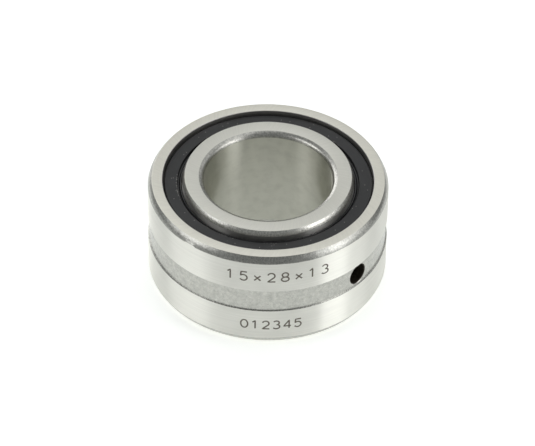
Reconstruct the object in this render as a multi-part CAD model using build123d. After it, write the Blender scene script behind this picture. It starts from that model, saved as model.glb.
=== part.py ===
"""Sealed needle roller bearing with an inner ring, 15 mm bore, 28 mm outside, 13 mm wide.

The outer ring has a raceway between two ribs, and the ribs guide a cage of needle rollers. A rubber seal
with a steel stiffener snaps into a seat at each end. Its lip runs on the inner ring, which is 1 mm wider
than the outer ring. A shallow lubrication groove with one oil hole goes round the outside.

The origin is the bearing's centre, +Z is its axis and the oil hole opens along +X. Units are millimetres.
Sections are lists of (radius, height, fillet radius), taken in order round the outline.
"""

from build123d import *
import os

# Driving dimensions
BORE_R = 7.5
OUTSIDE_R = 14.0
OUTER_HALF_WIDTH = 6.5
INNER_HALF_WIDTH = 7.0
INNER_RACE_R = 10.0
ROLLER_R = 1.25
ROLLER_HALF_LENGTH = 3.9
ROLLER_END_RADIUS = 0.25
ROLLER_COUNT = 16

# Working clearances
RACE_GAP = 0.01  # radial, between a roller and each raceway
END_GAP = 0.1  # axial, between a roller and a rib
POCKET_GAP = 0.06  # between a roller and its cage pocket, all round
CAGE_GAP = 0.13  # radial, between the cage and the ribs that guide it
LIP_GAP = 0.03  # radial, between a seal lip and the inner ring
SEAT_GAP = 0.02  # radial, between a seal and its seat
BOND_GAP = 0.01  # radial, between a stiffener and its recess in the rubber

# Derived places
PITCH_R = INNER_RACE_R + RACE_GAP + ROLLER_R
OUTER_RACE_R = PITCH_R + ROLLER_R + RACE_GAP
RIB_INNER_Z = ROLLER_HALF_LENGTH + END_GAP

# Ring corners: what each takes off the end face and off the wall, the shares of these two from the sharp
# corner to the middle of the rounding, and the radius there
OUTSIDE_CORNER = (0.46, 0.8, 0.41, 0.47, 1.5)
BORE_CORNER = (0.58, 0.58, 0.3, 0.3, 0.58)
RACE_CORNER = (0.3, 0.62, 0.42, 0.47, 1.2)

# Outer ring
RIB_R = 11.75
RIB_OUTER_Z = 4.8
RIB_EDGE_RADIUS = 0.1
SEAT_R = 12.3
SEAT_EDGE_RADIUS = 0.06
SNAP_R = 12.5
SNAP_LOW_Z, SNAP_HIGH_Z = 4.9, 5.5
SNAP_SLOPE = 0.15
GROOVE_HALF_WIDTH = 1.5
GROOVE_DEPTH = 0.15
GROOVE_WALL = 0.05
OIL_HOLE_R = 1.25
OIL_HOLE_BREAK = 0.15
CUT_OVERRUN = 0.02

# Cage, pressed from sheet with an M-shaped section
CAGE_SHEET = 0.45
CAGE_OUTER_R = RIB_R - CAGE_GAP
CAGE_WAIST_R = 10.42
CAGE_FLANGE_R = 10.3
CAGE_HALF_WIDTH = 4.62
CAGE_EDGE_RADIUS = 0.05
WAIST_Z, SHOULDER_Z = 1.4, 2.2
BEND_SHIFT = 0.1
BEND_RADIUS = 0.3

# Seals
SEAL_FACE_Z = 6.0
SEAL_EDGE_R = 12.1
SEAL_EDGE_RADIUS = 0.15
BEAD_RADIUS = 0.06
RECESS_Z = 5.3
RECESS_INNER_R, RECESS_OUTER_R = 10.8, 12.0
STIFFENER_SHEET = 0.3
LIP_R = INNER_RACE_R + LIP_GAP
LIP_SECTION = [
    (10.6, SEAL_FACE_Z, 0.06),
    (10.55, 5.56, 0.05),
    (10.42, 5.52, 0.05),
    (10.33, 5.56, 0.03),
    (10.24, 5.76, 0.04),
    (10.12, 5.76, 0.04),
    (LIP_R, 5.6, 0.02),
    (LIP_R, 5.5, 0.02),
    (10.2, 5.32, 0.05),
    (10.42, 5.22, 0.1),
    (10.66, 5.1, 0.1),
    (10.66, 4.9, 0.04),
]


def turned(section):
    """The solid that a section makes when it is turned about Z."""
    corners = [(radius, height) for radius, height, _ in section]
    fillets = [fillet_radius for _, _, fillet_radius in section]
    outline = FilletPolyline(corners, radius=fillets, close=True)
    return revolve(Plane.XZ * make_face(outline), Axis.Z)


def mirrored(upper_half):
    """The whole section of a ring that is the same above and below its middle plane."""
    lower_half = [(radius, -height, fillet_radius) for radius, height, fillet_radius in reversed(upper_half)]
    return upper_half + lower_half


def ring_corner(radius, height, corner, outwards):
    """A rounded corner, from a ground end face to a ground wall, that meets both with a crisp edge.

    The sharp corner would stand at (radius, height). outwards is 1 on an outside and -1 in a bore."""
    radial, axial, radial_share, axial_share, bend_radius = corner
    face_edge = (radius - outwards * radial, height, 0)
    middle = (radius - outwards * radial_share * radial, height - axial_share * axial, bend_radius)
    wall_edge = (radius, height - axial, 0)
    return [face_edge, middle, wall_edge]


def oil_hole():
    """What is cut away for the oil hole: a drilled hole through to the raceway, and its broken edge."""
    drilled = Cylinder(OIL_HOLE_R, 2 * (OUTSIDE_R - OUTER_RACE_R))
    edge_start = OUTSIDE_R - GROOVE_DEPTH - OIL_HOLE_BREAK
    edge_depth = OIL_HOLE_BREAK + CUT_OVERRUN
    broken_edge = Cone(OIL_HOLE_R, OIL_HOLE_R + edge_depth, edge_depth)
    point_along_x = Rot(Y=90)
    return [
        Pos(X=OUTER_RACE_R) * point_along_x * drilled,
        Pos(X=edge_start + edge_depth / 2) * point_along_x * broken_edge,
    ]


def outer_ring():
    """Ring with raceway, ribs, seal seats, outside groove and oil hole."""
    upper_half = [
        (OUTER_RACE_R, RIB_INNER_Z, RIB_EDGE_RADIUS),
        (RIB_R, RIB_INNER_Z, RIB_EDGE_RADIUS),
        (RIB_R, RIB_OUTER_Z, RIB_EDGE_RADIUS),
        (SEAT_R, RIB_OUTER_Z, 0),
        (SEAT_R, SNAP_LOW_Z, 0),
        (SNAP_R, SNAP_LOW_Z + SNAP_SLOPE, BEAD_RADIUS),
        (SNAP_R, SNAP_HIGH_Z - SNAP_SLOPE, BEAD_RADIUS),
        (SEAT_R, SNAP_HIGH_Z, BEAD_RADIUS),
        (SEAT_R, OUTER_HALF_WIDTH, SEAT_EDGE_RADIUS),
        *ring_corner(OUTSIDE_R, OUTER_HALF_WIDTH, OUTSIDE_CORNER, outwards=1),
        (OUTSIDE_R, GROOVE_HALF_WIDTH, 0),
        (OUTSIDE_R - GROOVE_DEPTH, GROOVE_HALF_WIDTH - GROOVE_WALL, GROOVE_WALL),
    ]
    return turned(mirrored(upper_half)) - oil_hole()


def inner_ring():
    """Plain ring whose outside is the inner raceway."""
    bore_corner = ring_corner(BORE_R, INNER_HALF_WIDTH, BORE_CORNER, outwards=-1)
    race_corner = ring_corner(INNER_RACE_R, INNER_HALF_WIDTH, RACE_CORNER, outwards=1)
    return turned(mirrored(bore_corner[::-1] + race_corner))


def roller_places():
    """Where the rollers stand, in order round the axis, with the oil hole between the last and the first."""
    return PolarLocations(PITCH_R, ROLLER_COUNT, start_angle=180 / ROLLER_COUNT)


def cage():
    """Cage whose outer flats hold the rollers from outside, and whose waist holds them from inside."""
    upper_half = [
        (CAGE_WAIST_R, WAIST_Z + BEND_SHIFT, BEND_RADIUS),
        (CAGE_OUTER_R - CAGE_SHEET, SHOULDER_Z + BEND_SHIFT, BEND_RADIUS),
        (CAGE_OUTER_R - CAGE_SHEET, CAGE_HALF_WIDTH - CAGE_SHEET, BEND_RADIUS / 2),
        (CAGE_FLANGE_R, CAGE_HALF_WIDTH - CAGE_SHEET, CAGE_EDGE_RADIUS),
        (CAGE_FLANGE_R, CAGE_HALF_WIDTH, CAGE_EDGE_RADIUS),
        (CAGE_OUTER_R, CAGE_HALF_WIDTH, BEND_RADIUS),
        (CAGE_OUTER_R, SHOULDER_Z - BEND_SHIFT, BEND_RADIUS),
        (CAGE_WAIST_R + CAGE_SHEET, WAIST_Z - BEND_SHIFT, BEND_RADIUS),
    ]
    pocket = Cylinder(ROLLER_R + POCKET_GAP, 2 * (ROLLER_HALF_LENGTH + POCKET_GAP))
    return turned(mirrored(upper_half)) - roller_places() * pocket


def needle_rollers():
    """Every roller in its place."""
    blank = Cylinder(ROLLER_R, 2 * ROLLER_HALF_LENGTH)
    roller = fillet(blank.edges().filter_by(GeomType.CIRCLE), ROLLER_END_RADIUS)
    return [place * roller for place in roller_places()]


def seal_rubber():
    """Upper seal: a bead that snaps into the seat, a flat outer face, a lip and a recess at the back."""
    bead_r = SNAP_R - SEAT_GAP
    seat_r = SEAT_R - SEAT_GAP
    section = [
        (seat_r, RIB_OUTER_Z, 0.03),
        (seat_r, SNAP_LOW_Z, 0),
        (bead_r, SNAP_LOW_Z + SNAP_SLOPE, BEAD_RADIUS),
        (bead_r, SNAP_HIGH_Z - SNAP_SLOPE, BEAD_RADIUS),
        (seat_r, SNAP_HIGH_Z, BEAD_RADIUS),
        (SEAL_EDGE_R, SNAP_HIGH_Z, BEAD_RADIUS),
        (SEAL_EDGE_R, SEAL_FACE_Z, SEAL_EDGE_RADIUS),
        *LIP_SECTION,
        (RECESS_INNER_R, LIP_SECTION[-1][1], 0),
        (RECESS_INNER_R, RECESS_Z, 0),
        (RECESS_OUTER_R, RECESS_Z, 0),
        (RECESS_OUTER_R, RIB_OUTER_Z, 0),
    ]
    return turned(section)


def seal_stiffener():
    """Upper stiffener: an L-section sheet ring moulded into the back of the rubber."""
    inner_r = RECESS_INNER_R + BOND_GAP
    outer_r = RECESS_OUTER_R - BOND_GAP
    section = [
        (inner_r, RECESS_Z - STIFFENER_SHEET, 0),
        (outer_r - STIFFENER_SHEET, RECESS_Z - STIFFENER_SHEET, 0.05),
        (outer_r - STIFFENER_SHEET, RIB_OUTER_Z, 0),
        (outer_r, RIB_OUTER_Z, 0),
        (outer_r, RECESS_Z, 0),
        (inner_r, RECESS_Z, 0),
    ]
    return turned(section)


def assembly():
    """Every sub-part at rest, by node name."""
    turned_over = Rot(X=180)
    rubber = seal_rubber()
    stiffener = seal_stiffener()
    parts = {
        "outer_ring": outer_ring(),
        "inner_ring": inner_ring(),
        "cage": cage(),
        "seal_upper": rubber,
        "seal_lower": turned_over * rubber,
        "seal_stiffener_upper": stiffener,
        "seal_stiffener_lower": turned_over * stiffener,
    }
    for number, roller in enumerate(needle_rollers(), start=1):
        parts[f"needle_roller_{number:02d}"] = roller
    return parts


os.makedirs("parts", exist_ok=True)
for name, shape in assembly().items():
    export_step(shape, f"parts/{name}.step")
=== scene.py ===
"""Looks of the sealed needle roller bearing, built round its CAD frame.

The rings and the seals are turned again with fine edges and small marks of making and handling, and they
replace their CAD nodes. The cage, rollers and stiffeners keep their CAD shapes. The steel is ground, lapped,
turned or tumbled, each with its own lay. Lengths are in millimetres until a mesh is made, and angles are in
degrees. Azimuths are measured from +X, where the oil hole is.
"""

import math

import bmesh
import bpy
from mathutils import Matrix, Vector, noise


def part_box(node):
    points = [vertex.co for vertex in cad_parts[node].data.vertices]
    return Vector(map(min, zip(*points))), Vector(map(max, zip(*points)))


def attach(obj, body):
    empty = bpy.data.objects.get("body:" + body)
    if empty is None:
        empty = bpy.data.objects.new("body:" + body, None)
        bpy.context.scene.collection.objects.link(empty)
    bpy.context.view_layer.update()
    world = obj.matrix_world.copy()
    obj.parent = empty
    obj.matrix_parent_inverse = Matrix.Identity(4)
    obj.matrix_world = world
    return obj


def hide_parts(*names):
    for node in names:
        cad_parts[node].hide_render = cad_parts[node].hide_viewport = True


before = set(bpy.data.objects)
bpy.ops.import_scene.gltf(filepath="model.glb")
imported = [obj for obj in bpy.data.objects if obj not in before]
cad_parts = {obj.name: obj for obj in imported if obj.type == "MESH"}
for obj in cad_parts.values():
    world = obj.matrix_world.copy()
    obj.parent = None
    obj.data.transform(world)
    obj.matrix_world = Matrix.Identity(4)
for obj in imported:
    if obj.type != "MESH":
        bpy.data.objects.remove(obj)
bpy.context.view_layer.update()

MM = 0.001
SEGMENTS = 480
FILLET_STEP = 10

# Driving dimensions, from the frame
OUTSIDE_R = round(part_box("outer_ring")[1].x / MM, 2)
OUTER_TOP = round(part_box("outer_ring")[1].z / MM, 2)
INNER_TOP = round(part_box("inner_ring")[1].z / MM, 2)
RACE_R = round(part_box("inner_ring")[1].x / MM, 2)

# Rings, as the CAD has them
BORE_R = 7.5
OUTER_RACE_R = 12.52
RIB_R = 11.75
RIB_INNER_Z, RIB_OUTER_Z = 4.0, 4.8
SEAT_R, SNAP_R = 12.3, 12.5
SNAP_LOW_Z, SNAP_HIGH_Z = 4.9, 5.5
SNAP_SLOPE = 0.15
GROOVE_HALF_WIDTH = 1.5
GROOVE_DEPTH = 0.15
OIL_HOLE_R = 1.25
OIL_HOLE_BREAK = 0.15

# Ring corners: radial leg, axial leg, shares of these to the middle, bend radius. They are the CAD's, except
# that the bore corner's bend is slightly tighter
OUTSIDE_CORNER = (0.46, 0.8, 0.41, 0.47, 1.5)
BORE_CORNER = (0.58, 0.58, 0.3, 0.3, 0.5)
RACE_CORNER = (0.3, 0.62, 0.42, 0.47, 1.2)
FINE_EDGE = 0.04

# Seals, as the CAD has them
SEAL_FACE_Z = 6.0
SEAL_EDGE_R = 12.1
SEAT_GAP = 0.02
RECESS_Z = 5.3
RECESS_INNER_R, RECESS_OUTER_R = 10.8, 12.0
LIP_FRONT = (
    (10.6, SEAL_FACE_Z, 0.06),
    (10.55, 5.56, 0.05),
    (10.42, 5.52, 0.05),
    (10.33, 5.56, 0.03),
    (10.24, 5.76, 0.04),
    (10.12, 5.76, 0.04),
    (10.03, 5.6, 0.02),
)
LIP_BACK = (
    (10.03, 5.5, 0.02),
    (10.2, 5.32, 0.05),
    (10.42, 5.22, 0.1),
    (10.66, 5.1, 0.1),
    (10.66, 4.9, 0.04),
)

# The camera's place, and the studio round it. Studio azimuths are measured from the camera's right.
VIEW_AZIMUTH = 40.5
VIEW_ELEVATION = 41.48
VIEW_DISTANCE = 500.0
VIEW_LENS = 287.1
VIEW_RIGHT, VIEW_UP, VIEW_ROLL = -0.005, -0.337, 0.97
LIGHT_DISTANCE = 420.0
LEAST_SHARE = 0.3
# Between FLOOR_WHITE_R and FLOOR_GREY_R the floor's colour fades from white to grey: painted shade where the
# studio light falls off
FLOOR_WHITE_R, FLOOR_GREY_R = 58.0, 90.0
FLOOR_GAP = 0.01
FLOOR_REACH = 2000
FLOOR_GLOW = 0.5


# ------------------------------------------------------------------ materials


class Recipe:
    """A Principled material, and short ways to add the nodes that feed it. Patterns are in millimetres."""

    def __init__(self, name, metallic=1.0, roughness=0.4, anisotropy=0.0, lay_turn=0.0):
        self.material = bpy.data.materials.new(name)
        self.material.use_nodes = True
        self.tree = self.material.node_tree
        self.shader = self.tree.nodes["Principled BSDF"]
        self.shader.inputs["Metallic"].default_value = metallic
        self.shader.inputs["Roughness"].default_value = roughness
        if anisotropy:
            tangent = self.node("ShaderNodeTangent", direction_type="RADIAL", axis="Z")
            self.shader.inputs["Anisotropic"].default_value = anisotropy
            self.shader.inputs["Anisotropic Rotation"].default_value = lay_turn
            self.link(tangent.outputs["Tangent"], "Tangent")
        place = self.node("ShaderNodeTexCoord").outputs["Object"]
        self.place = self.vector("SCALE", place, scale=1 / MM)

    def node(self, kind, inputs=None, **settings):
        made = self.tree.nodes.new(kind)
        for key, value in settings.items():
            setattr(made, key, value)
        for key, value in (inputs or {}).items():
            if isinstance(value, bpy.types.NodeSocket):
                self.tree.links.new(value, made.inputs[key])
            else:
                made.inputs[key].default_value = value
        return made

    def link(self, socket, name):
        self.tree.links.new(socket, self.shader.inputs[name])

    def vector(self, operation, first, second=None, scale=None):
        inputs = {0: first}
        if second is not None:
            inputs[1] = second
        if scale is not None:
            inputs["Scale"] = scale
        made = self.node("ShaderNodeVectorMath", inputs, operation=operation)
        return made.outputs["Value" if operation == "LENGTH" else "Vector"]

    def math(self, operation, first, second=0.0):
        return self.node("ShaderNodeMath", {0: first, 1: second}, operation=operation).outputs[0]

    def grain(self, stretch, detail=2.0, rough=0.5):
        """Noise from 0 to 1, with stretch features per millimetre along X, Y and Z."""
        spot = self.vector("MULTIPLY", self.place, stretch)
        inputs = {"Vector": spot, "Scale": 1.0, "Detail": detail, "Roughness": rough}
        return self.node("ShaderNodeTexNoise", inputs).outputs["Fac"]

    def radial_lay(self, lines, along, swirl):
        """Noise drawn out along nearly radial lines: lines per turn, features per millimetre along them."""
        flat = self.vector("MULTIPLY", self.place, (1.0, 1.0, 0.0))
        radius = self.vector("LENGTH", flat)
        way = self.vector("NORMALIZE", flat)
        angle = self.math("MULTIPLY", radius, swirl)
        turned = self.node("ShaderNodeVectorRotate", {"Vector": way, "Angle": angle}, rotation_type="Z_AXIS")
        wide = self.vector("SCALE", turned.outputs[0], scale=lines / (2 * math.pi))
        depth = self.node("ShaderNodeCombineXYZ", {"Z": self.math("MULTIPLY", radius, along)}).outputs[0]
        spot = self.vector("ADD", wide, depth)
        return self.node("ShaderNodeTexNoise", {"Vector": spot, "Scale": 1.0, "Detail": 3.0}).outputs["Fac"]

    def spread(self, value, low, high, start=0.3, end=0.7):
        made = self.node("ShaderNodeMapRange", {0: value, 1: start, 2: end, 3: low, 4: high})
        return made.outputs[0]

    def blend(self, share, first, second):
        """Colour between first and second."""
        made = self.node("ShaderNodeMix", {"Factor": share}, data_type="RGBA")
        for socket, value in ((made.inputs[6], first), (made.inputs[7], second)):
            if isinstance(value, bpy.types.NodeSocket):
                self.tree.links.new(value, socket)
            else:
                socket.default_value = (*value, 1.0)
        return made.outputs[2]

    def specks(self, density, core, edge, missing):
        """Small round spots, seen from above: density per millimetre, and the share that is missing."""
        cells = self.node(
            "ShaderNodeTexVoronoi", {"Vector": self.place, "Scale": density}, voronoi_dimensions="2D"
        )
        chosen = self.node("ShaderNodeSeparateColor", {0: cells.outputs["Color"]}).outputs[0]
        near = self.spread(cells.outputs["Distance"], 1, 0, core * density, edge * density)
        return self.math("MULTIPLY", near, self.spread(chosen, 0, 1, missing, missing + 0.02))

    def bump(self, height, depth, strength=1.0, under=None):
        """Relief of depth millimetres from a height between 0 and 1."""
        inputs = {"Height": height, "Distance": depth * MM, "Strength": strength}
        if under is not None:
            inputs["Normal"] = under
        return self.node("ShaderNodeBump", inputs).outputs[0]


GLOSS_CHANGE = 0.015


def end_face_steel(name, color):
    """Ground end face: fine, nearly radial lay lines with a slight swirl, and faint clouding."""
    r = Recipe(name, roughness=0.36, anisotropy=0.35)
    lines = r.radial_lay(520, 0.35, 0.04)
    broad = r.radial_lay(150, 0.25, 0.04)
    cloud = r.grain((0.35, 0.35, 0.35))
    base = r.blend(r.spread(lines, 0, 1), tuple(0.91 * c for c in color), color)
    base = r.blend(r.spread(broad, 0, 0.3), base, tuple(0.93 * c for c in color))
    r.link(base, "Base Color")
    r.link(r.math("ADD", r.spread(lines, 0.32, 0.40), r.spread(cloud, -0.02, 0.02)), "Roughness")
    r.link(r.bump(lines, 0.001), "Normal")
    return r.material


def ground_steel(
    name, color, roughness, lines, anisotropy, depth, cloudy=0.3, lay_tint=0.90, stain_tint=0.93
):
    """Steel ground round its axis: lines run round the ring, and gloss is drawn out across them."""
    r = Recipe(name, roughness=roughness, anisotropy=anisotropy, lay_turn=0.25)
    lay = r.grain((0.12, 0.12, lines), detail=3.0)
    cloud = r.grain((cloudy, cloudy, cloudy + 0.2), detail=3.0)
    dark = tuple(lay_tint * c for c in color)
    base = r.blend(r.spread(lay, 0, 1), dark, color)
    stained = tuple(stain_tint * c for c in color)
    r.link(r.blend(r.spread(cloud, 0, 0.7, 0.45, 0.75), base, stained), "Base Color")
    streaks = r.spread(lay, -GLOSS_CHANGE, GLOSS_CHANGE)
    patches = r.spread(cloud, roughness - GLOSS_CHANGE, roughness + GLOSS_CHANGE)
    r.link(r.math("ADD", streaks, patches), "Roughness")
    r.link(r.bump(lay, depth), "Normal")
    return r.material


def tumbled_steel(name, color):
    """Corner left by tumbling: grainy, dull, with pits and bright high spots."""
    r = Recipe(name, roughness=0.4)
    grain = r.grain((5.0, 5.0, 5.0), detail=3.0, rough=0.6)
    fine = r.grain((14.0, 14.0, 14.0), detail=2.0)
    base = r.blend(r.spread(grain, 0, 1), tuple(0.55 * c for c in color), color)
    r.link(base, "Base Color")
    r.link(r.spread(fine, 0.26, 0.36), "Roughness")
    coarse = r.bump(grain, 0.014)
    r.link(r.bump(fine, 0.003, under=coarse), "Normal")
    return r.material


def groove_steel():
    """Groove floor after heat treatment: matt, mottled and a little grey."""
    r = Recipe("groove_steel", roughness=0.45, anisotropy=0.7, lay_turn=0.25)
    mottle = r.grain((2.2, 2.2, 2.2), detail=4.0, rough=0.6)
    fine = r.grain((9.0, 9.0, 9.0), detail=2.0)
    rings = r.grain((0.2, 0.2, 9.0), detail=2.0)
    base = r.blend(r.spread(mottle, 0, 1), (0.37, 0.372, 0.347), (0.52, 0.52, 0.484))
    r.link(r.blend(r.spread(fine, 0, 0.5, 0.55, 0.75), base, (0.72, 0.71, 0.68)), "Base Color")
    r.link(r.spread(fine, 0.22, 0.32), "Roughness")
    coarse = r.bump(rings, 0.002)
    r.link(r.bump(fine, 0.003, under=coarse), "Normal")
    return r.material


def hole_shade_steel():
    """Drilled hole wall, coloured near black: painted shade for the inside of the hole."""
    r = Recipe("hole_shade_steel", metallic=0.6, roughness=0.55)
    grain = r.grain((5.0, 5.0, 5.0), detail=3.0)
    r.link(r.blend(r.spread(grain, 0, 1), (0.012, 0.010, 0.007), (0.045, 0.038, 0.025)), "Base Color")
    r.link(r.spread(grain, 0.45, 0.65), "Roughness")
    r.link(r.bump(grain, 0.02), "Normal")
    return r.material


def sheet_steel(name, color):
    """Cold rolled and pressed sheet: soft blotches and fine scuffs."""
    r = Recipe(name, roughness=0.42)
    blotch = r.grain((1.2, 1.2, 1.2), detail=4.0)
    scuff = r.grain((9.0, 9.0, 1.5), detail=2.0)
    dark = tuple(0.75 * c for c in color)
    r.link(r.blend(r.spread(blotch, 0, 1), dark, color), "Base Color")
    r.link(r.spread(scuff, 0.34, 0.52), "Roughness")
    r.link(r.bump(scuff, 0.003), "Normal")
    return r.material


def seal_rubber(name, roughness, specks):
    """Black nitrile rubber: faint bloom, moulded grain, specks of dust where it lies flat, and a painted
    highlight of light specks along the flat's inner edge.
    """
    r = Recipe(name, metallic=0.0, roughness=roughness)
    bloom = r.grain((0.6, 0.6, 0.6), detail=3.0)
    grain = r.grain((16.0, 16.0, 16.0), detail=2.0)
    base = r.blend(r.spread(bloom, 0, 1), (0.018, 0.0187, 0.0195), (0.026, 0.0267, 0.028))
    if specks:
        dust = r.specks(1.15, 0.03, 0.065, 0.72)
        radius = r.vector("LENGTH", r.vector("MULTIPLY", r.place, (1.0, 1.0, 0.0)))
        # Painted highlight: light specks in a band at the flat's inner edge, broken up by broad noise, stand
        # in for the glint along that edge
        edge = r.math("MULTIPLY", r.spread(radius, 1, 0, 10.72, 10.78), r.grain((0.25, 0.25, 0.25)))
        painted_glint = r.math("MULTIPLY", r.specks(7.0, 0.03, 0.075, 0.5), r.spread(edge, 0, 1, 0.5, 0.6))
        # The light speck colour serves both the real dust and the painted glint
        base = r.blend(r.math("MAXIMUM", dust, painted_glint), base, (0.30, 0.29, 0.27))
    r.link(base, "Base Color")
    r.link(r.spread(grain, roughness - 0.06, roughness + 0.06), "Roughness")
    r.link(r.bump(grain, 0.002), "Normal")
    return r.material


def etched_mark():
    """Steel darkened by a marking laser: brown-grey, dull and a little uneven."""
    r = Recipe("etched_mark", metallic=0.5, roughness=0.6)
    grain = r.grain((7.0, 7.0, 7.0), detail=2.0)
    r.link(r.blend(r.spread(grain, 0, 1), (0.085, 0.074, 0.058), (0.16, 0.142, 0.115)), "Base Color")
    r.link(r.spread(grain, 0.5, 0.7), "Roughness")
    return r.material


def studio_floor():
    """White light table, painted grey beyond the part as shade where the studio light falls off."""
    r = Recipe("studio_floor", metallic=0.0, roughness=0.7)
    radius = r.vector("LENGTH", r.vector("MULTIPLY", r.place, (1.0, 1.0, 0.0)))
    # Painted shade: the floor's colour turns grey away from the part, standing in for the studio light
    # falling off
    near = r.spread(radius, 1, 0, FLOOR_WHITE_R, FLOOR_GREY_R)
    r.link(r.blend(near, (0.2, 0.2, 0.2), (0.9, 0.9, 0.89)), "Base Color")
    r.shader.inputs["Emission Color"].default_value = (0.97, 1.0, 0.98, 1.0)
    r.link(r.math("MULTIPLY", near, FLOOR_GLOW), "Emission Strength")
    return r.material


# ------------------------------------------------------------------ turned meshes


def rounded(section):
    """A section's outline with its fillets drawn as arcs.

    Section points are (radius, height, fillet radius, zone), and a zone is the material of the stretch after
    its point. A fillet goes with the stretch before it.
    """
    outline = []
    for i, (radius, height, fillet_radius, zone) in enumerate(section):
        corner = Vector((radius, height))
        back = (Vector(section[i - 1][:2]) - corner).normalized()
        ahead = (Vector(section[(i + 1) % len(section)][:2]) - corner).normalized()
        if not fillet_radius:
            outline.append((corner, zone))
            continue
        half = back.angle(ahead) / 2
        centre = corner + (back + ahead).normalized() * fillet_radius / math.sin(half)
        start = corner + back * fillet_radius / math.tan(half) - centre
        sweep = math.pi - 2 * half
        if back.x * ahead.y - back.y * ahead.x > 0:
            sweep = -sweep
        steps = max(2, round(math.degrees(abs(sweep)) / FILLET_STEP))
        for k in range(steps):
            outline.append((centre + Matrix.Rotation(sweep * k / steps, 2) @ start, section[i - 1][3]))
        outline.append((centre + Matrix.Rotation(sweep, 2) @ start, zone))
    return outline


def mirrored(upper_half):
    """The whole section of a ring that is the same above and below its middle plane."""
    zones = [point[3] for point in upper_half]
    zones_below = zones[-2::-1] + zones[-1:]
    lower_half = [
        (radius, -height, fillet_radius, zone)
        for (radius, height, fillet_radius, _), zone in zip(reversed(upper_half), zones_below)
    ]
    return upper_half + lower_half


def new_piece(name, verts, faces, zones, materials):
    mesh = bpy.data.meshes.new(name)
    mesh.from_pydata([tuple(MM * c for c in v) for v in verts], [], faces)
    mesh.polygons.foreach_set("material_index", zones)
    for material in materials:
        mesh.materials.append(material)
    shape = bmesh.new()
    shape.from_mesh(mesh)
    bmesh.ops.recalc_face_normals(shape, faces=shape.faces)
    shape.to_mesh(mesh)
    shape.free()
    piece = bpy.data.objects.new(name, mesh)
    bpy.context.scene.collection.objects.link(piece)
    return piece


def turned(name, section, materials, worn=None):
    """A ring made by turning a section about Z. worn(radius, height, azimuth) shifts a point slightly."""
    outline = rounded(section)
    count = len(outline)
    verts, faces, zones = [], [], []
    for k in range(SEGMENTS):
        azimuth = 360 * k / SEGMENTS
        along = Vector((math.cos(math.radians(azimuth)), math.sin(math.radians(azimuth))))
        for (radius, height), _ in outline:
            if worn:
                shift = worn(radius, height, azimuth)
                radius, height = radius + shift[0], height + shift[1]
            verts.append((along.x * radius, along.y * radius, height))
        here, there = k * count, (k + 1) % SEGMENTS * count
        for i, (_, zone) in enumerate(outline):
            j = (i + 1) % count
            faces.append((here + i, there + i, there + j, here + j))
            zones.append(zone)
    return new_piece(name, verts, faces, zones, materials)


def shade(piece, sharp_angle=28):
    """Smooth shading that keeps flats flat and sharp edges sharp."""
    piece.data.shade_smooth()
    piece.data.set_sharp_from_angle(angle=math.radians(sharp_angle))
    weighted = piece.modifiers.new("weighted_normals", "WEIGHTED_NORMAL")
    weighted.keep_sharp = True


def ring_corner(radius, height, corner, outwards, zone, wall_zone):
    """A tumbled corner from an end face to a ground wall, with fine edges."""
    radial, axial, radial_share, axial_share, bend = corner
    return [
        (radius - outwards * radial, height, FINE_EDGE, zone),
        (radius - outwards * radial_share * radial, height - axial_share * axial, bend, zone),
        (radius, height - axial, FINE_EDGE, wall_zone),
    ]


def uneven(azimuth, lumps, seed):
    """Smooth noise from -1 to 1 round a ring, with about that many lumps."""
    a = math.radians(azimuth)
    return noise.noise((lumps / 6 * math.cos(a), lumps / 6 * math.sin(a), seed))


# ------------------------------------------------------------------ the pieces

RACE, BORED, FACE, CORNER, LAND, GROOVE, HOLE, HOLE_EDGE = range(8)
NICK_FROM, NICK_TO, NICK_RISE = -92.0, -85.5, 0.13
# Share of the oil hole's edge break that takes the hole's painted shade
HOLE_SHADE_SHARE = 0.55
EDGE_OVERRUN = 0.02


def outer_ring_worn(radius, height, azimuth):
    """The tumbled corner is lumpy, its lower edge wanders, and one nick has let the land run up into it."""
    over = abs(height) - (OUTER_TOP - OUTSIDE_CORNER[1])
    in_from = OUTSIDE_R - radius
    if in_from > OUTSIDE_CORNER[0] - 0.03 or over < -0.05:
        return 0.0, 0.0
    side = math.copysign(1, height)
    if in_from < 0.02:
        rise = 0.035 * uneven(azimuth, 40, side) + 0.02 * uneven(azimuth, 130, 5 * side)
        if side > 0 and NICK_FROM < azimuth - 360 < NICK_TO:
            rise += NICK_RISE
        return 0.0, side * rise
    lump = 0.012 * uneven(azimuth, 200, 3 + height) + 0.01 * uneven(azimuth, 60, 9 + height)
    return lump, 0.5 * lump


def oil_hole_cutter(materials):
    """The drill and its edge break, turned about X."""
    edge_start = OUTSIDE_R - GROOVE_DEPTH - OIL_HOLE_BREAK
    rim = OIL_HOLE_R + OIL_HOLE_BREAK + EDGE_OVERRUN
    profile = [
        (OUTER_RACE_R - 0.6, OIL_HOLE_R, HOLE),
        (edge_start, OIL_HOLE_R, HOLE),
        (edge_start + HOLE_SHADE_SHARE * OIL_HOLE_BREAK, OIL_HOLE_R + HOLE_SHADE_SHARE * OIL_HOLE_BREAK, HOLE_EDGE),
        (edge_start + OIL_HOLE_BREAK + EDGE_OVERRUN, rim, HOLE_EDGE),
        (OUTSIDE_R + 0.2, rim, HOLE_EDGE),
    ]
    around = 96
    verts, faces, zones = [], [], []
    for k in range(around):
        a = 2 * math.pi * k / around
        verts += [(x, r * math.cos(a), r * math.sin(a)) for x, r, _ in profile]
    count = len(profile)
    for k in range(around):
        here, there = k * count, (k + 1) % around * count
        for i in range(count - 1):
            faces.append((here + i, here + i + 1, there + i + 1, there + i))
            zones.append(profile[i][2])
    faces.append([k * count for k in range(around)])
    faces.append([k * count + count - 1 for k in range(around)])
    zones += [HOLE, HOLE]
    return new_piece("oil_hole_cutter", verts, faces, zones, materials)


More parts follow.
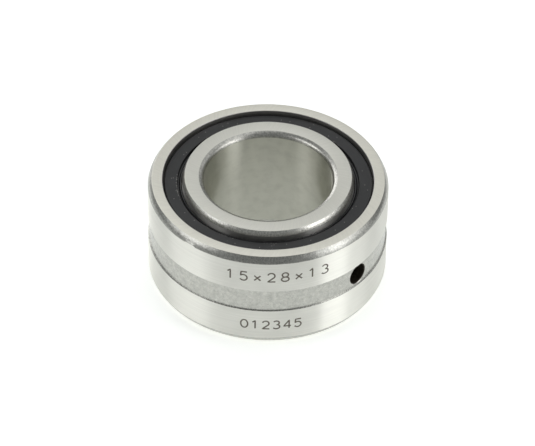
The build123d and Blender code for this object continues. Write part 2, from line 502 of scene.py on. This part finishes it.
def cut(piece, cutter):
    """Takes the cutter out of the piece for good."""
    modifier = piece.modifiers.new("cut", "BOOLEAN")
    modifier.operation = "DIFFERENCE"
    modifier.solver = "EXACT"
    modifier.object = cutter
    bpy.context.view_layer.update()
    made = bpy.data.meshes.new_from_object(piece.evaluated_get(bpy.context.evaluated_depsgraph_get()))
    piece.modifiers.remove(modifier)
    piece.data = made
    bpy.data.objects.remove(cutter)


def outer_ring(steels):
    upper_half = [
        (OUTER_RACE_R, RIB_INNER_Z, 0.1, BORED),
        (RIB_R, RIB_INNER_Z, 0.1, BORED),
        (RIB_R, RIB_OUTER_Z, 0.1, BORED),
        (SEAT_R, RIB_OUTER_Z, 0, BORED),
        (SEAT_R, SNAP_LOW_Z, 0, BORED),
        (SNAP_R, SNAP_LOW_Z + SNAP_SLOPE, 0.06, BORED),
        (SNAP_R, SNAP_HIGH_Z - SNAP_SLOPE, 0.06, BORED),
        (SEAT_R, SNAP_HIGH_Z, 0.06, BORED),
        (SEAT_R, OUTER_TOP, 0.06, FACE),
        *ring_corner(OUTSIDE_R, OUTER_TOP, OUTSIDE_CORNER, 1, CORNER, LAND),
        (OUTSIDE_R, GROOVE_HALF_WIDTH, 0.05, GROOVE),
        (OUTSIDE_R - GROOVE_DEPTH, GROOVE_HALF_WIDTH - 0.05, 0.05, GROOVE),
    ]
    section = mirrored(upper_half)
    section[-1] = (*section[-1][:3], RACE)
    materials = [
        steels[key] for key in ("race", "bored", "face", "corner", "land", "groove", "hole", "hole_edge")
    ]
    piece = turned("outer_ring_turned", section, materials, outer_ring_worn)
    cut(piece, oil_hole_cutter(materials))
    shade(piece)
    return piece


def inner_ring_worn(radius, height, azimuth):
    """The tumbled corners are a little lumpy."""
    over = abs(height) - (INNER_TOP - RACE_CORNER[1])
    on_corner = BORE_R + 0.02 < radius < BORE_R + BORE_CORNER[0] - 0.03
    on_corner = on_corner or RACE_R - RACE_CORNER[0] + 0.03 < radius < RACE_R - 0.01
    if over < 0.02 or not on_corner:
        return 0.0, 0.0
    lump = 0.008 * uneven(azimuth, 150, 3 + height) + 0.006 * uneven(azimuth, 40, 9 + height)
    return lump, -0.5 * lump


def inner_ring(steels):
    bore, bore_corner, corner, face, race = range(5)
    bore_side = ring_corner(BORE_R, INNER_TOP, BORE_CORNER, -1, bore_corner, bore)[::-1]
    bore_side = [(*bore_side[0][:3], bore_corner), bore_side[1], (*bore_side[2][:3], face)]
    race_side = ring_corner(RACE_R, INNER_TOP, RACE_CORNER, 1, corner, race)
    section = mirrored(bore_side + race_side)
    section[-1] = (*section[-1][:3], bore)
    materials = [steels[key] for key in ("bore", "bore_corner", "inner_corner", "inner_face", "polished")]
    piece = turned("inner_ring_turned", section, materials, inner_ring_worn)
    shade(piece)
    return piece


def seal_worn(radius, height, azimuth):
    """The outer edge has small nicks of moulding flash, and the lip is a little wavy."""
    if radius > SEAL_EDGE_R - 0.16 and abs(height) > RECESS_Z + 0.3:
        nick = max(0.0, uneven(azimuth, 240, 4) - 0.42)
        return 0.015 * uneven(azimuth, 20, 2) - 0.12 * nick, 0.0
    if 10.08 < radius < 10.3 and abs(height) > 5.65:
        return 0.006 * uneven(azimuth, 30, 7), 0.01 * uneven(azimuth, 90, 8)
    return 0.0, 0.0


def seal(name, side, rubbers):
    """One seal: side is 1 at the top and -1 at the bottom."""
    flat, lip, back = range(3)
    bead_r, seat_r = SNAP_R - SEAT_GAP, SEAT_R - SEAT_GAP
    section = [
        (seat_r, RIB_OUTER_Z, 0.03, back),
        (seat_r, SNAP_LOW_Z, 0, back),
        (bead_r, SNAP_LOW_Z + SNAP_SLOPE, 0.06, back),
        (bead_r, SNAP_HIGH_Z - SNAP_SLOPE, 0.06, back),
        (seat_r, SNAP_HIGH_Z, 0.06, back),
        (SEAL_EDGE_R, SNAP_HIGH_Z, 0.06, lip),
        (SEAL_EDGE_R, SEAL_FACE_Z, 0.15, flat),
        *((*point, lip) for point in LIP_FRONT),
        *((*point, back) for point in LIP_BACK),
        (RECESS_INNER_R, LIP_BACK[-1][1], 0, back),
        (RECESS_INNER_R, RECESS_Z, 0, back),
        (RECESS_OUTER_R, RECESS_Z, 0, back),
        (RECESS_OUTER_R, RIB_OUTER_Z, 0, back),
    ]
    section = [(radius, side * height, *rest) for radius, height, *rest in section]
    piece = turned(name, section, rubbers, seal_worn)
    shade(piece)
    return piece


# ------------------------------------------------------------------ size marks


def arc(x, y, wide, tall, start, end):
    """Points on part of an ellipse, counted in shares of a digit's height."""
    steps = round(abs(end - start) / 12)
    angles = [math.radians(start + (end - start) * k / steps) for k in range(steps + 1)]
    return [(x + wide * math.cos(a), y + tall * math.sin(a)) for a in angles]


STROKES = {
    "0": [arc(0.40, 0.5, 0.34, 0.5, 90, 450)],
    "1": [[(0.16, 0.78), (0.42, 1.0), (0.42, 0.0)]],
    "2": [arc(0.40, 0.69, 0.31, 0.31, 165, -38) + [(0.08, 0.0), (0.76, 0.0)]],
    "3": [arc(0.38, 0.75, 0.28, 0.25, 150, -80) + arc(0.38, 0.26, 0.33, 0.26, 80, -150)],
    "4": [[(0.58, 0.0), (0.58, 1.0), (0.06, 0.28), (0.76, 0.28)]],
    "5": [[(0.70, 1.0), (0.18, 1.0), (0.13, 0.56)] + arc(0.38, 0.33, 0.33, 0.33, 128, -150)],
    "8": [arc(0.40, 0.75, 0.27, 0.25, -90, 270), arc(0.40, 0.25, 0.33, 0.25, 90, 450)],
    "x": [[(0.12, 0.12), (0.68, 0.68)], [(0.12, 0.68), (0.68, 0.12)]],
}
MARK_WIDTH = 0.18
MARK_RELIEF = 0.004
MARK_ROOT = 0.02
MARK_STEP = 0.1


def evenly(stroke):
    """The stroke with points close enough together to follow the ring's curve."""
    points = [Vector(stroke[0])]
    for spot in stroke[1:]:
        leg = Vector(spot) - points[-1]
        pieces = max(1, math.ceil(leg.length / MARK_STEP))
        start = points[-1]
        points += [start + leg * k / pieces for k in range(1, pieces + 1)]
    return points


def size_mark(name, text, azimuth, bottom, tall, pitch, material):
    """Digits etched on the outside of the outer ring, centred on an azimuth, as thin closed ribbons."""
    verts, faces = [], []
    start = -0.5 * (len(text) - 1) * pitch - 0.4 * tall
    for place, letter in enumerate(text):
        for layer, stroke in enumerate(STROKES[letter]):
            left = start + place * pitch
            points = [Vector((left + p.x * tall, bottom + p.y * tall)) for p in evenly(stroke)]
            first = len(verts)
            for k, point in enumerate(points):
                ways = [(points[k] - points[k - 1])] if k else []
                ways += [(points[k + 1] - points[k])] if k + 1 < len(points) else []
                way = sum((w.normalized() for w in ways), Vector((0, 0))).normalized()
                side = Vector((-way.y, way.x)) * MARK_WIDTH / 2
                for spot in (point + side, point - side):
                    for radius in (OUTSIDE_R + MARK_RELIEF * (1 + 0.2 * layer), OUTSIDE_R - MARK_ROOT):
                        a = math.radians(azimuth) + spot.x / OUTSIDE_R
                        verts.append((radius * math.cos(a), radius * math.sin(a), spot.y))
            for k in range(len(points) - 1):
                near, far = first + 4 * k, first + 4 * k + 4
                for i, j in ((0, 2), (2, 3), (3, 1), (1, 0)):
                    faces.append((near + i, near + j, far + j, far + i))
            last = first + 4 * (len(points) - 1)
            faces += [(first, first + 1, first + 3, first + 2), (last, last + 2, last + 3, last + 1)]
    return new_piece(name, verts, faces, [0] * len(faces), [material])


# ------------------------------------------------------------------ studio

# How bright a light looks, where 1 is a white card
KEY, FILL, SOFT, FAINT = 3.0, 2.0, 1.0, 0.5

# Name, studio azimuth, elevation, width, height and brightness
LIGHTS = (
    ("key_low", -25, 15, 15, 28, KEY),
    ("key_high", -25, 45, 15, 30, FILL),
    ("key_front", -38, 15, 9, 28, KEY),
    ("key_side", -8, 42, 18, 50, SOFT),
    ("key_far", -5, 12, 18, 22, SOFT),
    ("left_low", -162, 25, 40, 26, FILL),
    ("left_middle", -160, 47, 40, 22, SOFT),
    ("back_left", 125, 17, 40, 26, FILL),
    ("back", 90, 45, 140, 28, FAINT),
    ("back_high", 90, 68, 60, 20, SOFT),
    ("right_high", 20, 66, 50, 24, SOFT),
)


def studio_direction(azimuth, elevation):
    """Unit vector to a place in the studio: azimuth 0 is the camera's right and 90 is behind the object."""
    a, e = math.radians(azimuth + VIEW_AZIMUTH), math.radians(elevation)
    return Vector((math.cos(a) * math.cos(e), math.sin(a) * math.cos(e), math.sin(e)))


def softbox(name, azimuth, elevation, wide, tall, brightness):
    """A soft rectangular light that faces the object. Its width and height are in degrees as the object sees
    them."""
    across, up = (2 * LIGHT_DISTANCE * math.tan(math.radians(angle / 2)) for angle in (wide, tall))
    data = bpy.data.lights.new(name, "AREA")
    data.shape = "RECTANGLE"
    data.size = across * max(math.cos(math.radians(elevation)), LEAST_SHARE) * MM
    data.size_y = up * MM
    data.energy = brightness * math.pi * data.size * data.size_y
    light = bpy.data.objects.new(name, data)
    bpy.context.scene.collection.objects.link(light)
    toward = studio_direction(azimuth, elevation)
    light.location = toward * LIGHT_DISTANCE * MM
    light.rotation_mode = "QUATERNION"
    light.rotation_quaternion = (-toward).to_track_quat("-Z", "Y")
    light.visible_camera = False


def camera():
    toward = studio_direction(-90, VIEW_ELEVATION)
    data = bpy.data.cameras.new("camera")
    data.lens = VIEW_LENS
    data.sensor_width = 36.0
    data.clip_start = 0.01
    data.clip_end = 10.0
    cam = bpy.data.objects.new("camera", data)
    bpy.context.scene.collection.objects.link(cam)
    target = studio_direction(0, 0) * VIEW_RIGHT + Vector((0, 0, VIEW_UP))
    cam.location = (toward * VIEW_DISTANCE + target) * MM
    roll = Matrix.Rotation(math.radians(VIEW_ROLL), 4, "Z").to_quaternion()
    cam.rotation_mode = "QUATERNION"
    cam.rotation_quaternion = (-toward).to_track_quat("-Z", "Y") @ roll
    bpy.context.scene.camera = cam


def studio():
    corners = ((-1, -1), (1, -1), (1, 1), (-1, 1))
    verts = [(FLOOR_REACH * x, FLOOR_REACH * y, -INNER_TOP - FLOOR_GAP) for x, y in corners]
    floor = new_piece("floor", verts, [(0, 1, 2, 3)], [0], [studio_floor()])
    world = bpy.data.worlds.new("studio")
    world.use_nodes = True
    background = world.node_tree.nodes["Background"]
    background.inputs["Color"].default_value = (0.97, 1.0, 1.0, 1.0)
    background.inputs["Strength"].default_value = 0.25
    bpy.context.scene.world = world
    for light in LIGHTS:
        softbox(*light)
    bpy.context.scene.view_settings.view_transform = "Standard"


# ------------------------------------------------------------------ putting it together


def main():
    camera()
    studio()
    steels = {
        "race": ground_steel("lapped_raceway", (0.66, 0.65, 0.63), 0.27, 14.0, 1.0, 0.0004),
        "bored": ground_steel("bored_steel", (0.55, 0.54, 0.52), 0.4, 9.0, 0.3, 0.003),
        "face": end_face_steel("end_face_steel", (0.85, 0.835, 0.75)),
        "inner_face": end_face_steel("inner_face_steel", (0.765, 0.76, 0.695)),
        "corner": tumbled_steel("tumbled_corner", (0.57, 0.57, 0.535)),
        "bore_corner": tumbled_steel("tumbled_bore_corner", (0.61, 0.605, 0.565)),
        "inner_corner": tumbled_steel("tumbled_inner_corner", (0.78, 0.775, 0.723)),
        "land": ground_steel("ground_land", (0.85, 0.846, 0.792), 0.36, 11.0, 1.0, 0.001),
        "groove": groove_steel(),
        # The oil hole's wall is coloured near black as painted shade
        "hole": hole_shade_steel(),
        "hole_edge": ground_steel("broken_edge", (0.7, 0.68, 0.64), 0.3, 6.0, 0.0, 0.002),
        "bore": ground_steel("ground_bore", (0.65, 0.648, 0.582), 0.33, 12.0, 1.0, 0.0002, 0.9, 0.97, 0.86),
        "polished": ground_steel("polished_raceway", (0.70, 0.69, 0.66), 0.30, 16.0, 1.0, 0.00005),
    }
    # The flat rubber has dust and the painted glint at its inner edge
    flat, lip = seal_rubber("rubber_flat", 0.42, True), seal_rubber("rubber_lip", 0.2, False)
    outer, inner = outer_ring(steels), inner_ring(steels)
    upper = seal("seal_upper_moulded", 1, [flat, lip, lip])
    lower = seal("seal_lower_moulded", -1, [flat, lip, lip])
    mark = etched_mark()
    marks = [
        size_mark("size_mark_upper", "15x28x13", -44.0, 3.05, 1.3, 1.6, mark),
        size_mark("size_mark_lower", "012345", -47.0, -4.25, 1.2, 1.25, mark),
    ]
    for piece, node in ((outer, "outer_ring"), (upper, "seal_upper"), (lower, "seal_lower")):
        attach(piece, "outer_ring")
        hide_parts(node)
    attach(inner, "inner_ring")
    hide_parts("inner_ring")
    for piece in marks:
        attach(piece, "outer_ring")
    kept = {
        "cage": sheet_steel("cage_sheet", (0.50, 0.49, 0.46)),
        "seal_stiffener": sheet_steel("stiffener_sheet", (0.45, 0.45, 0.44)),
        "needle_roller": ground_steel("lapped_roller", (0.7, 0.69, 0.67), 0.12, 18.0, 0.3, 0.0002),
    }
    for node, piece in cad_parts.items():
        for stem, material in kept.items():
            if node.startswith(stem):
                for place in piece.material_slots:
                    place.material = material


main()
